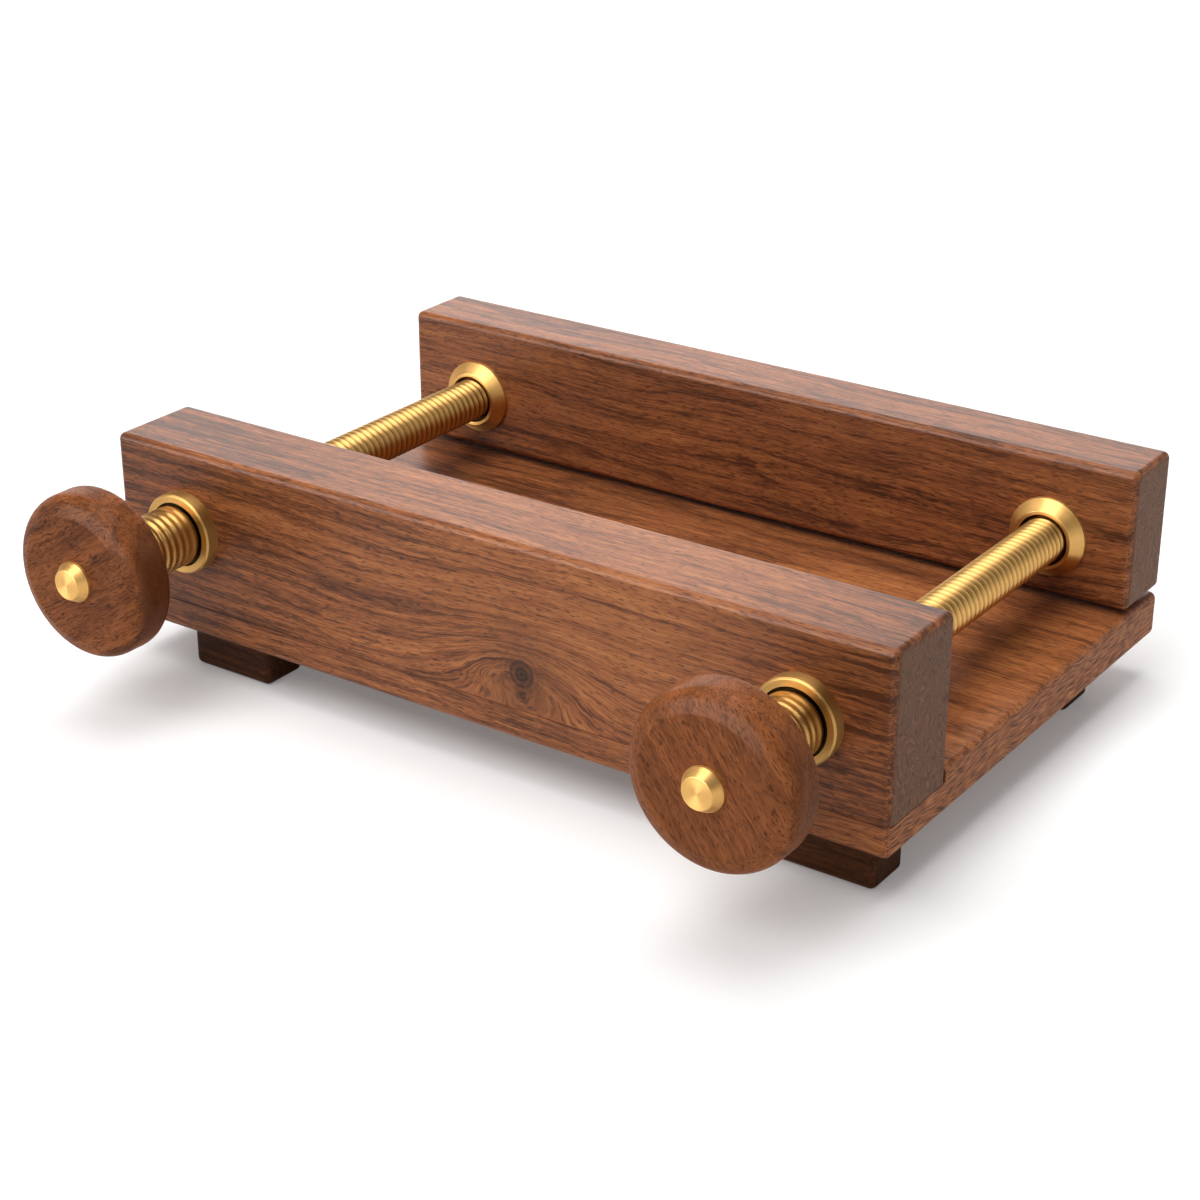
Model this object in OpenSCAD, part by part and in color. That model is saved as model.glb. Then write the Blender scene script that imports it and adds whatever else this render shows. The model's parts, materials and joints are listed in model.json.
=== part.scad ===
// Book press: a walnut stand with a fixed front jaw, and a rear jaw that two brass screws draw forward.
// Millimetres. X runs to the right, Y to the back and Z up from the table.
// The origin is on the table, under the middle of the press from its caps to the back of its board.

/* [Base board and feet] */
// Width of the board and of both jaws
press_w = 304.8; // [280:0.1:360]
// Depth of the board, front to back
base_depth = 191.5; // [150:0.5:260]
// Thickness of the board
base_t = 16; // [13:0.5:24]
// Depth of the rebate that the front jaw is let into
rebate_depth = 5; // [2:0.5:7]
// Width of a foot, along the press
foot_w = 34.5; // [28:0.5:48]
// Depth of a foot, front to back
foot_depth = 18; // [14:0.5:30]
// Height of a foot
foot_h = 15; // [10:0.5:25]
// From the board's left end to the left feet
foot_inset_left = 25; // [4:0.5:40]
// From the board's right end to the front right foot
foot_inset_right = 6.5; // [4:0.5:40]
// From the board's right end to the rear right foot
foot_inset_rear_right = 10.5; // [4:0.5:40]
// From the board's front edge to the front feet
foot_inset_front = 5; // [3:0.5:20]
// From the board's back edge to the rear feet
foot_inset_rear = 29; // [3:0.5:40]

/* [Jaws] */
// Thickness of the front jaw
front_jaw_t = 35; // [28:0.5:45]
// Height of the front jaw, with the part in the rebate
front_jaw_h = 57; // [48:0.5:75]
// Thickness of the rear jaw
rear_jaw_t = 27.5; // [22:0.5:40]
// Height of the rear jaw
rear_jaw_h = 50; // [44:0.5:70]
// Gap between the rear jaw and the board that it slides over
jaw_lift = 2; // [1:0.1:4]
// Rounding of the wooden edges
edge_round = 2.5; // [0.5:0.1:3]
// Rounding of the front jaw's lower edges, which makes the seam
seam_round = 0.4; // [0.2:0.1:1]

/* [Screws] */
// Diameter over the thread
screw_d = 16; // [14:0.5:20]
// Thread pitch
screw_pitch = 3; // [2:0.25:4]
// Depth of the thread
thread_depth = 0.7; // [0.4:0.05:1]
// Distance between the two screws
screw_spacing = 244; // [200:1:252]
// Height of the screws above the board
screw_lift = 23; // [20:0.5:32]
// Distance between the front bush and the knob
knob_standoff = 31; // [15:0.5:45]
// How far the screw's end lies inside the rear jaw's back
screw_end_inset = 2; // [0.5:0.5:5]

/* [Sleeves] */
// Radial wall of a ribbed sleeve, between the bush and the knob
sleeve_wall = 2.7; // [2.6:0.1:3.2]
// Distance between its ribs
sleeve_rib_step = 3; // [2:0.25:4]
// Height of its ribs
sleeve_rib_h = 0.4; // [0.2:0.05:0.8]
// Open gap round the sleeve in the mouth of the bush
sleeve_gap = 0.7; // [0.6:0.1:1]

/* [Front bushes] */
// Thickness of the flange in front of the jaw
bush_flange_t = 5; // [4:0.25:7]
// How far the flange reaches past the bush's body
bush_lip = 2.25; // [1.5:0.25:4]
// Wall of the bush round its thrust collar
bush_wall = 1.4; // [1:0.1:3]
// Bevel on the flange's front edge
bush_bevel = 0.6; // [0.2:0.1:1]
// Radial wall of the thrust collar
collar_wall = 2.2; // [1.6:0.1:2.6]
// Length of the thrust collar
collar_len = 6; // [5:0.25:9]
// Diameter of the pin through the collar and the screw
collar_pin_d = 2.5; // [1.5:0.1:3]
// How far the pin's ends lie inside the collar
collar_pin_inset = 0.6; // [0.3:0.1:1.5]
// Thickness of the ring that keeps the collar in
ring_t = 2; // [1.5:0.1:2.6]
// How far the ring's face lies below the flange's
ring_recess = 1.8; // [1:0.1:2.2]
// Open gap round the screw in the ring, and at the mouth of a nut
mouth_gap = 1.1; // [0.6:0.1:1.4]

/* [Jaw nuts] */
// Thickness of a nut's flange
nut_flange_t = 5; // [3.5:0.25:8]
// How far the flange reaches past the nut's body
nut_lip = 3; // [2:0.25:5]
// Wall of the nut
nut_wall = 3; // [2:0.25:5]
// Straight rim of the flange, before its bevel
nut_rim_t = 1.2; // [0.5:0.1:2]
// Width of the flat ring round the nut's mouth
nut_face = 1.3; // [0.8:0.1:2]
// Depth of the open mouth
nut_mouth_depth = 2.5; // [1:0.25:4]
// Wood left behind the nut
nut_backing = 5.5; // [4:0.5:10]
// Diameter of the pin that stops a nut turning
nut_key_d = 3; // [2:0.25:4]
// Length of that pin
nut_key_len = 14; // [8:0.5:15]

/* [Knobs and caps] */
// Diameter of a knob
knob_d = 57; // [44:0.5:60]
// Thickness of a knob
knob_t = 16.5; // [14:0.5:28]
// Rounding of the knob's front edge
knob_front_round = 6; // [3:0.25:8]
// Rounding of the knob's back edge
knob_back_round = 3.5; // [1:0.25:4]
// Wood between the screw's tenon and the knob's face
knob_web = 4; // [3:0.25:6]
// Step from the thread down to the tenon in the knob
tenon_step = 2; // [1.5:0.25:3]
// Width and height of the key between the tenon and the knob
knob_key_size = 3; // [2:0.25:4]
// Length of that key
knob_key_len = 9; // [5:0.5:9]
// Diameter of a cap
cap_d = 14; // [12:0.5:18]
// Height of a cap above the knob
cap_h = 4; // [2.5:0.25:6]
// Diameter of the cap's flat
cap_flat_d = 10.2; // [6:0.2:11]
// Straight rim of the cap, below its bevel
cap_rim_t = 0.9; // [0.4:0.1:2]
// Diameter of the stud on the cap
stud_d = 6; // [4:0.25:6.5]
// Length of the stud in the screw
stud_bite = 10; // [6:0.5:14]

/* [Wood screws] */
// Shank of the screws in the front jaw
jaw_screw_d = 5; // [4:0.25:6]
// How deep they reach into the front jaw
jaw_screw_bite = 30; // [20:1:40]
// Distance from the middle to the inner screws
jaw_screw_first = 28; // [20:1:35]
// Distance from the inner screws to the outer ones
jaw_screw_step = 46; // [30:1:50]
// Shank of the screws in the feet
foot_screw_d = 4; // [3:0.25:4.5]
// Wood left above their tips, under the front jaw
foot_screw_cover = 3; // [1.5:0.5:6]
// Distance between the two screws of a foot
foot_screw_gap = 17; // [12:0.5:18]
// How far their heads lie inside the foot
foot_screw_recess = 2; // [1:0.25:4]

/* [Fits] */
// Radial clearance of a screw that turns in its bush or nut
running_gap = 0.05; // [0.02:0.01:0.1]
// Radial clearance of pieces that are fixed together
fixed_gap = 0.03; // [0.01:0.01:0.1]
// Clearance between faces that turn past each other
face_gap = 0.1; // [0.05:0.05:0.3]
// Radial clearance round the thrust collar
collar_gap = 0.4; // [0.3:0.05:0.5]
// Radial clearance of the screw in the wood
wood_gap = 0.6; // [0.4:0.1:1.2]

/* [Hidden] */
$fn = 96;
walnut = "#7a4a30";
dark_walnut = "#4f3122";
brass = "#c9a24a";
steel = "#b8b8b4";
LEFT = -1;
RIGHT = 1;

// Heights
base_top = foot_h + base_t;
rebate_z = base_top - rebate_depth;
rear_jaw_z = base_top + jaw_lift;
screw_z = base_top + screw_lift;

// Places along Y: the knobs and caps stand in front of the board's front edge
knob_back = bush_flange_t + knob_standoff;
knob_face = knob_back + knob_t;
reach = knob_face + cap_h;
front_y = (reach - base_depth) / 2;
back_y = front_y + base_depth;

// Radii about a screw's axis
screw_r = screw_d / 2;
bore_r = screw_r + running_gap;
mouth_r = screw_r + mouth_gap;
tenon_r = screw_r - tenon_step;
collar_r = screw_r + collar_wall;
pocket_r = collar_r + collar_gap;
bush_r = pocket_r + bush_wall;
bush_flange_r = bush_r + bush_lip;
sleeve_r = screw_r + sleeve_wall;
bush_mouth_r = sleeve_r + sleeve_gap;
ring_r = bush_mouth_r - fixed_gap;
nut_r = screw_r + nut_wall;
nut_flange_r = nut_r + nut_lip;
nut_face_r = mouth_r + nut_face;

// Places along a screw, measured back from the front edge of the board
ring_front = -bush_flange_t + ring_recess;
ring_seat = ring_front + ring_t;
sleeve_back = ring_front - face_gap;
collar_front = ring_seat + face_gap;
collar_back = collar_front + collar_len;
nut_seat = base_depth - rear_jaw_t;
nut_len = rear_jaw_t - nut_backing;
screw_end = base_depth - screw_end_inset;
tenon_front = -knob_face + knob_web;

// The outline of a thread or rib, in shares of its step
rib_crest = 0.3;
rib_flank = 0.2;
rib_root = 0.3;

// Lengths of the wood screws
jaw_screw_len = base_t - rebate_depth + jaw_screw_bite;
foot_screw_len = foot_h - foot_screw_recess + base_t - rebate_depth - foot_screw_cover;

// Local +Z runs back along a screw's axis, from the front edge of the board.
module on_screw(side) {
    translate([side * screw_spacing / 2, front_y, screw_z]) rotate([-90, 0, 0]) children();
}

module rod(r, from, to) {
    translate([0, 0, from]) cylinder(r = r, h = to - from);
}

// What is cut off a square corner to round it.
module corner_cut(r) {
    difference() {
        translate([-1, -1]) square(r + 1);
        translate([r, r]) circle(r);
    }
}

// A rectangle on the origin, with its low corners and its high corners rounded.
module soft_rect(w, h, low_r, high_r) {
    difference() {
        square([w, h]);
        for (right = [0, 1], high = [0, 1]) {
            r = high == 1 ? high_r : low_r;
            if (r > 0)
                translate([right * w, high * h]) mirror([right, 0]) mirror([0, high]) corner_cut(r);
        }
    }
}

// The upright corner of a wooden block, turned about the z axis through a quarter.
module soft_post(r, h, low_r, high_r) {
    rotate_extrude(angle = 90) difference() {
        square([r, h]);
        for (high = [0, 1]) {
            cut = high == 1 ? high_r : low_r;
            if (cut > 0)
                translate([r, high * h]) mirror([1, 0]) mirror([0, high]) corner_cut(cut);
        }
    }
}

// A wooden block from the origin, with rounded upright edges, and its own rounding below and above.
module soft_block(w, d, h, upright_r, low_r, high_r) {
    long = w - 2 * upright_r;
    deep = d - 2 * upright_r;
    translate([w - upright_r, 0, 0]) rotate([90, 0, -90]) mirror([1, 0, 0])
        linear_extrude(long) soft_rect(d, h, low_r, high_r);
    translate([0, d - upright_r, 0]) rotate([90, 0, 0]) linear_extrude(deep) soft_rect(w, h, low_r, high_r);
    for (right = [0, 1], back = [0, 1])
        translate([upright_r + right * long, upright_r + back * deep, 0])
            mirror([1 - right, 0, 0]) mirror([0, 1 - back, 0]) soft_post(upright_r, h, low_r, high_r);
}

// A countersunk wood screw that points up, with its head's face at z = 0.
module wood_screw(d, length, gap = 0) {
    r = d / 2 + gap;
    head_r = d + gap;
    rotate_extrude()
        polygon([[0, 0], [head_r, 0], [r, d / 2], [r, length - d + gap], [0, length + gap]]);
}

module at_jaw_screws() {
    for (side = [LEFT, RIGHT], step = [0, 1])
        translate([side * (jaw_screw_first + step * jaw_screw_step), front_y + front_jaw_t / 2, foot_h])
            children();
}

module at_foot(side, rear) {
    inset_right = rear ? foot_inset_rear_right : foot_inset_right;
    x = side == LEFT ? -press_w / 2 + foot_inset_left : press_w / 2 - inset_right - foot_w;
    y = rear ? back_y - foot_inset_rear - foot_depth : front_y + foot_inset_front;
    translate([x, y, 0]) children();
}

module at_foot_screws() {
    for (step = [-1, 1])
        translate([foot_w / 2 + step * foot_screw_gap / 2, foot_depth / 2, foot_screw_recess]) children();
}

module base_board() {
    color(walnut) difference() {
        translate([-press_w / 2, front_y, foot_h])
            soft_block(press_w, base_depth, base_t, edge_round, edge_round, edge_round);
        translate([-press_w, front_y - front_jaw_t, rebate_z]) cube([2 * press_w, 2 * front_jaw_t, base_t]);
        at_jaw_screws() wood_screw(jaw_screw_d, jaw_screw_len, fixed_gap);
        for (side = [LEFT, RIGHT], rear = [false, true])
            at_foot(side, rear) at_foot_screws() wood_screw(foot_screw_d, foot_screw_len, fixed_gap);
    }
}

module foot(side, rear) {
    color(dark_walnut) at_foot(side, rear) difference() {
        soft_block(foot_w, foot_depth, foot_h, edge_round, edge_round, 0);
        at_foot_screws() wood_screw(foot_screw_d, foot_screw_len, fixed_gap);
        at_foot_screws() rod(foot_screw_d + fixed_gap, -foot_h, 0);
    }
}

module foot_screws() {
    color(steel) for (side = [LEFT, RIGHT], rear = [false, true])
        at_foot(side, rear) at_foot_screws() wood_screw(foot_screw_d, foot_screw_len);
}

module front_jaw() {
    color(walnut) difference() {
        translate([-press_w / 2, front_y, rebate_z])
            soft_block(press_w, front_jaw_t, front_jaw_h, edge_round, seam_round, edge_round);
        for (side = [LEFT, RIGHT])
            on_screw(side) rod(bush_r + fixed_gap, -front_jaw_t, 2 * front_jaw_t);
        at_jaw_screws() wood_screw(jaw_screw_d, jaw_screw_len, fixed_gap);
    }
}

module front_jaw_screws() {
    color(steel) at_jaw_screws() wood_screw(jaw_screw_d, jaw_screw_len);
}

// Flanged bush: the flange holds the ring, and the pocket behind it holds the thrust collar.
module bush(side) {
    color(brass) on_screw(side) rotate_extrude() polygon([
        [bush_mouth_r, -bush_flange_t],
        [bush_flange_r - bush_bevel, -bush_flange_t],
        [bush_flange_r, -bush_flange_t + bush_bevel],
        [bush_flange_r, 0],
        [bush_r, 0],
        [bush_r, front_jaw_t],
        [bore_r, front_jaw_t],
        [bore_r, collar_back + face_gap],
        [pocket_r, collar_back + face_gap],
        [pocket_r, ring_seat],
        [bush_mouth_r, ring_seat]
    ]);
}

module bush_ring(side) {
    color(brass) on_screw(side) difference() {
        rod(ring_r, ring_front, ring_seat);
        rod(mouth_r, ring_front - ring_t, ring_seat + ring_t);
    }
}

// One rib of a ribbed outline, from crest to crest.
function rib(r, z, step, height) = [
    [r, z],
    [r, z + rib_crest * step],
    [r - height, z + (rib_crest + rib_flank) * step],
    [r - height, z + (rib_crest + rib_flank + rib_root) * step]
];

// A ribbed stretch of a turned outline, as a stack of equal ribs that fills its length.
function ribs(r, from, to, step, height) = [
    for (i = [0 : floor((to - from) / step) - 1])
        each rib(r, from + i * step, step, height)
];

// Ribbed sleeve on the screw, from the knob into the mouth of the bush.
module sleeve(side) {
    bore = screw_r + fixed_gap;
    color(brass) on_screw(side) rotate_extrude() polygon(concat(
        [[bore, -knob_back]],
        ribs(sleeve_r, -knob_back, sleeve_back, sleeve_rib_step, sleeve_rib_h),
        [[sleeve_r - sleeve_rib_h, sleeve_back], [bore, sleeve_back]]
    ));
}

// Brass screw: tenon in the knob, plain journal through the sleeve and the bush, then thread to the end.
module screw(side) {
    journal_back = front_jaw_t;
    color(brass) on_screw(side) difference() {
        rotate_extrude() polygon(concat(
            [[0, tenon_front], [tenon_r, tenon_front], [tenon_r, -knob_back], [screw_r, -knob_back]],
            ribs(screw_r, journal_back, screw_end, screw_pitch, thread_depth),
            [[screw_r - thread_depth, screw_end], [0, screw_end]]
        ));
        rod(stud_d / 2 + fixed_gap, tenon_front - knob_web, tenon_front + stud_bite + fixed_gap);
        knob_key_shape(fixed_gap);
        collar_pin_shape(fixed_gap);
    }
}

module collar_pin_shape(gap = 0) {
    half_len = collar_r - collar_pin_inset + gap;
    translate([0, 0, (collar_front + collar_back) / 2]) rotate([90, 0, 0])
        cylinder(r = collar_pin_d / 2 + gap, h = 2 * half_len, center = true);
}

module thrust_collar(side) {
    color(brass) on_screw(side) difference() {
        rod(collar_r, collar_front, collar_back);
        rod(screw_r + fixed_gap, collar_front - collar_len, collar_back + collar_len);
        collar_pin_shape(fixed_gap);
    }
}

module collar_pin(side) {
    color(steel) on_screw(side) collar_pin_shape();
}

// Square key, half in the tenon and half in the knob.
module knob_key_shape(gap = 0) {
    size = knob_key_size + 2 * gap;
    translate([-size / 2, tenon_r - size / 2, -knob_back - knob_key_len - gap])
        cube([size, size, knob_key_len + gap]);
}

module knob_key(side) {
    color(steel) on_screw(side) knob_key_shape();
}

module knob(side) {
    color(walnut) on_screw(side) difference() {
        rotate_extrude() translate([0, -knob_face]) intersection() {
            translate([-knob_d / 2, 0]) soft_rect(knob_d, knob_t, knob_front_round, knob_back_round);
            square([knob_d, knob_t]);
        }
        rod(tenon_r + fixed_gap, tenon_front - fixed_gap, 0);
        rod(stud_d / 2 + fixed_gap, -knob_face - cap_h, 0);
        knob_key_shape(fixed_gap);
    }
}

// Cap with a flat, bevelled face, on a stud that screws into the tenon.
module knob_cap(side) {
    color(brass) on_screw(side) rotate_extrude() polygon([
        [0, -reach],
        [cap_flat_d / 2, -reach],
        [cap_d / 2, -knob_face - cap_rim_t],
        [cap_d / 2, -knob_face],
        [stud_d / 2, -knob_face],
        [stud_d / 2, tenon_front + stud_bite],
        [0, tenon_front + stud_bite]
    ]);
}

module nut_key_shape(gap = 0) {
    translate([0, nut_r, 0]) rod(nut_key_d / 2 + gap, nut_seat, nut_seat + nut_key_len + gap);
}

module rear_jaw() {
    color(walnut) difference() {
        translate([-press_w / 2, back_y - rear_jaw_t, rear_jaw_z])
            soft_block(press_w, rear_jaw_t, rear_jaw_h, edge_round, edge_round, edge_round);
        for (side = [LEFT, RIGHT]) on_screw(side) {
            rod(nut_r + fixed_gap, nut_seat - nut_len, nut_seat + nut_len + fixed_gap);
            rod(screw_r + wood_gap, nut_seat, base_depth + rear_jaw_t);
            nut_key_shape(fixed_gap);
        }
    }
}

// Flanged nut with a bevelled face, let into the rear jaw from its inner side.
module jaw_nut(side) {
    front = nut_seat - nut_flange_t;
    color(brass) on_screw(side) difference() {
        rotate_extrude() polygon([
            [mouth_r, front],
            [nut_face_r, front],
            [nut_flange_r, nut_seat - nut_rim_t],
            [nut_flange_r, nut_seat],
            [nut_r, nut_seat],
            [nut_r, nut_seat + nut_len],
            [bore_r, nut_seat + nut_len],
            [bore_r, front + nut_mouth_depth],
            [mouth_r, front + nut_mouth_depth]
        ]);
        nut_key_shape(fixed_gap);
    }
}

module jaw_nut_keys() {
    color(steel) for (side = [LEFT, RIGHT]) on_screw(side) nut_key_shape();
}

base_board();
foot(LEFT, false);  // front_left_foot
foot(RIGHT, false);  // front_right_foot
foot(LEFT, true);  // rear_left_foot
foot(RIGHT, true);  // rear_right_foot
foot_screws();
front_jaw();
front_jaw_screws();
bush(LEFT);  // left_bush
bush(RIGHT);  // right_bush
bush_ring(LEFT);  // left_bush_ring
bush_ring(RIGHT);  // right_bush_ring
screw(LEFT);  // left_screw
screw(RIGHT);  // right_screw
sleeve(LEFT);  // left_sleeve
sleeve(RIGHT);  // right_sleeve
thrust_collar(LEFT);  // left_thrust_collar
thrust_collar(RIGHT);  // right_thrust_collar
collar_pin(LEFT);  // left_collar_pin
collar_pin(RIGHT);  // right_collar_pin
knob(LEFT);  // left_knob
knob(RIGHT);  // right_knob
knob_key(LEFT);  // left_knob_key
knob_key(RIGHT);  // right_knob_key
knob_cap(LEFT);  // left_knob_cap
knob_cap(RIGHT);  // right_knob_cap
rear_jaw();
jaw_nut(LEFT);  // left_jaw_nut
jaw_nut(RIGHT);  // right_jaw_nut
jaw_nut_keys();
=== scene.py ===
"""Book press of walnut and brass: the finishes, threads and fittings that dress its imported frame."""
import json
import math
from dataclasses import dataclass

import bmesh
import bpy
from bpy.props import FloatProperty, FloatVectorProperty, IntProperty, PointerProperty
from mathutils import Matrix, Vector


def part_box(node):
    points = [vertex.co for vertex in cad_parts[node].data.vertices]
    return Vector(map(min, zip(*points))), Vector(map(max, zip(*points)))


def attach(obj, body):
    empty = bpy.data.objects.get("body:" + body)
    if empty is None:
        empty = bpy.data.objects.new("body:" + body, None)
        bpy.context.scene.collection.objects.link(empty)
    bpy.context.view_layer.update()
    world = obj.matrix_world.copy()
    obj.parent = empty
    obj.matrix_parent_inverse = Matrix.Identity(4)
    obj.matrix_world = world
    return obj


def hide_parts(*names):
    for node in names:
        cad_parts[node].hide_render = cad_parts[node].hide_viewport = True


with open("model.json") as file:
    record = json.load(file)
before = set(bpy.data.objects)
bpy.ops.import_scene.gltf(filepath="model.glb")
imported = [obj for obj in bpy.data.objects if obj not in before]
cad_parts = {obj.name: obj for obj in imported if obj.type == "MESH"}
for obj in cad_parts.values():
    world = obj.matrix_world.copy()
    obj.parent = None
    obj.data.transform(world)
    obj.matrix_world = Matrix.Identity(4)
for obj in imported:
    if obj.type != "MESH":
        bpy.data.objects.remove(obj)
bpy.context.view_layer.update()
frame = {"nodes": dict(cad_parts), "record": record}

bl_info = {
    "name": "Walnut Book Press",
    "version": (1, 0, 0),
    "blender": (4, 5, 0),
    "location": "3D View > Sidebar > Book Press",
    "description": "Dresses the frame of a two-screw book press in walnut and brass",
    "category": "Object",
}

MM = 0.001
SAME_PLACE = 1e-6    # metres within which two points are one
TURNED_UV = "turned"
SIDES = ("left", "right")
FEET = ("front_left_foot", "front_right_foot", "rear_left_foot", "rear_right_foot")


def linear(colour):
    """The linear RGB of an sRGB hex colour."""
    channels = [int(colour[i:i + 2], 16) / 255 for i in (1, 3, 5)]
    return tuple(c / 12.92 if c <= 0.04045 else ((c + 0.055) / 1.055) ** 2.4 for c in channels)


def measure(node):
    """The middle and the size of a CAD node."""
    low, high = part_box(node)
    return (low + high) / 2, high - low


def radius(node):
    """The radius of a CAD node that is turned about a screw's axis."""
    return measure(node)[1].z / 2


def screw_body(side):
    """The body that a screw carries round with it."""
    return f"{side}_screw_unit"


def thread_lead():
    """How far the rear jaw travels in one turn of a screw."""
    for coupling in frame["record"]["behaviour"]["couplings"]:
        if coupling["joint"] == "rear_jaw_slide":
            return coupling["ratio"] * math.tau
    raise ValueError("the rear jaw doesn't follow a screw")


def length(name, description, default):
    """A length that a user may change."""
    return FloatProperty(name=name, description=description, default=default, min=0.0, precision=5,
                         subtype="DISTANCE", unit="LENGTH")


def colour(name, description, default):
    """A colour that a user may change, from its sRGB hex value."""
    return FloatVectorProperty(name=name, description=description, default=linear(default), size=3,
                               min=0.0, max=1.0, subtype="COLOR")


class PressSizes(bpy.types.PropertyGroup):
    """Sizes of the turned and threaded pieces that the frame's boxes don't give."""

    thread_pitch: length("Thread pitch", "Distance between two ribs of a screw", thread_lead())
    thread_depth: length("Thread depth", "Height of a rib of a screw", 0.95 * MM)
    screw_chamfer: length("Screw chamfer", "Chamfer at the ends of a screw", 0.9 * MM)
    tenon_radius: length("Tenon radius", "Radius of the screw's end in its knob", 6 * MM)
    stud_radius: length("Stud radius", "Radius of the cap's stud", 3 * MM)
    knob_face_radius: length("Knob face", "Radius of the flat front of a knob", 22 * MM)
    knob_shoulder: length("Knob shoulder", "How far a knob's sloping shoulder falls back", 2.6 * MM)
    knob_front_round: length("Knob front rounding", "Rounding of a knob's front edge", 6 * MM)
    knob_crease: length("Knob crease", "Rounding where a knob's face meets its shoulder", 1.2 * MM)
    knob_back_round: length("Knob back rounding", "Rounding of a knob's back edge", 3.5 * MM)
    sleeve_rib_step: length("Sleeve rib step", "Distance between two ribs of a sleeve", 3 * MM)
    sleeve_rib: length("Sleeve rib", "Height of a rib of a sleeve", 0.55 * MM)
    sleeve_neck: length("Sleeve neck", "Length of the sleeve's neck in the bush", 2.2 * MM)
    sleeve_neck_step: length("Sleeve neck step", "How far the neck lies below the ribs", 1.1 * MM)
    cap_flat_radius: length("Cap flat radius", "Radius of the flat on a cap", 5.1 * MM)
    cap_rim: length("Cap rim", "Straight rim of a cap below its bevel", 0.9 * MM)
    brass_edge: length("Brass edge", "Rounding of the turned brass edges", 0.3 * MM)
    bush_bevel: length("Bush bevel", "Bevel on the front edge of a bush's flange", 0.6 * MM)
    bush_wall: length("Bush wall", "Wall of a bush round its thrust collar", 1.4 * MM)
    collar_gap: length("Collar gap", "Radial clearance round the thrust collar", 0.4 * MM)
    mouth_gap: length("Mouth gap", "Open gap round the screw in a ring or nut", 1.1 * MM)
    running_gap: length("Running gap", "Clearance of the screw in its bush and nut", 0.05 * MM)
    fixed_gap: length("Fixed gap", "Clearance of turned pieces that are fixed together", 0.03 * MM)
    nut_wall: length("Nut wall", "Wall of a jaw nut", 3 * MM)
    nut_face: length("Nut face", "Width of the flat ring round a nut's mouth", 1.3 * MM)
    nut_rim: length("Nut rim", "Straight rim of a nut's flange", 1.2 * MM)
    nut_mouth_depth: length("Nut mouth depth", "Depth of the open mouth of a nut", 2.5 * MM)
    around: IntProperty(name="Facets", description="Facets round a turned piece",
                        default=96, min=24, max=256)


class PressColours(bpy.types.PropertyGroup):
    """Colours of the woods, the metals and the stage."""

    walnut_dark: colour("Walnut, dark streak", "Dark late wood of the walnut", "#552e18")
    walnut_mid: colour("Walnut, middle", "Common colour of the walnut", "#985932")
    walnut_light: colour("Walnut, light", "Light early wood of the walnut", "#bf7a45")
    walnut_pore: colour("Walnut pores", "Open pores of the walnut", "#2a170c")
    walnut_end: colour("Walnut end grain", "Grey brown of the sawn ends", "#6b4830")
    foot_tone: colour("Feet", "Dark walnut of the feet", "#2c190e")
    brass: colour("Brass", "Turned brass of the screws and fittings", "#daaa64")
    steel: colour("Steel", "Zinc-plated steel of the wood screws", "#b4b4ae")
    floor: colour("Floor", "Pale floor under the press", "#f2f2f2")


class PressSettings(bpy.types.PropertyGroup):
    """Everything that a user would change on the press."""

    sizes: PointerProperty(type=PressSizes)
    colours: PointerProperty(type=PressColours)


def chosen(context):
    """The sizes and the colours that are set for the press."""
    return context.scene.book_press.sizes, context.scene.book_press.colours


def opaque(tone):
    """The RGBA of a colour, or of a shade of grey."""
    return (*tone, 1.0) if hasattr(tone, "__len__") else (tone, tone, tone, 1.0)


def shaded(colour, shade):
    """A colour made darker or lighter by a factor."""
    return [shade * channel for channel in colour]


def limits(end, span):
    """The two inputs that set one end of a Map Range node, From or To."""
    return {f"{end} Min": span[0], f"{end} Max": span[1]}


def add(tree, kind, inputs=None, stops=(), **settings):
    """Adds a node with its settings and colour stops, and sets or links its inputs by name or number."""
    made = tree.nodes.new(kind)
    for key, value in settings.items():
        setattr(made, key, value)
    for key, value in (inputs or {}).items():
        if isinstance(value, bpy.types.NodeSocket):
            tree.links.new(value, made.inputs[key])
        else:
            made.inputs[key].default_value = value
    if stops:
        elements = made.color_ramp.elements
        while len(elements) < len(stops):
            elements.new(0.5)
        for element, (place, tone) in zip(elements, stops):
            element.position = place
            element.color = opaque(tone)
    return made


def new_material(name):
    """An empty material and its tree."""
    material = bpy.data.materials.new(name)
    material.use_nodes = True
    material.node_tree.nodes.clear()
    return material, material.node_tree


@dataclass
class Plank:
    """How a piece of walnut was sawn: where the tree's heart lay, how the grain runs and what shows."""

    heart: tuple                 # a point of the tree's heart, in metres in the frame
    tones: tuple                 # millimetres along the plank, each with a tone from 0 dark to 1 light
    turn: tuple = (0, 0, 0)      # how the grain is turned from running left to right
    ring: float = 5.0            # millimetres of a year's growth
    wander: float = 6.0          # millimetres by which the grain drifts
    curl: float = 0.15           # strength of the grain's small curls
    contrast: float = 1.0        # strength of the streaks
    knot: tuple = None           # where a knot shows, in millimetres from the heart
    pore_shade: float = 0.55     # how dark the pores are
    # On a turned piece, sawn also sets the painted shade on its left and right sides.
    sawn: float = 0.85           # how far the ends' own colour shows
    turned: bool = False         # turned on a lathe, not planed
    dashed_ends: bool = False    # ends with dashes, not curls
    polish: float = 0.2          # how much of the oil's sheen shows
    ior: float = 1.22            # low, because sanded wood scatters much of what it reflects


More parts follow.
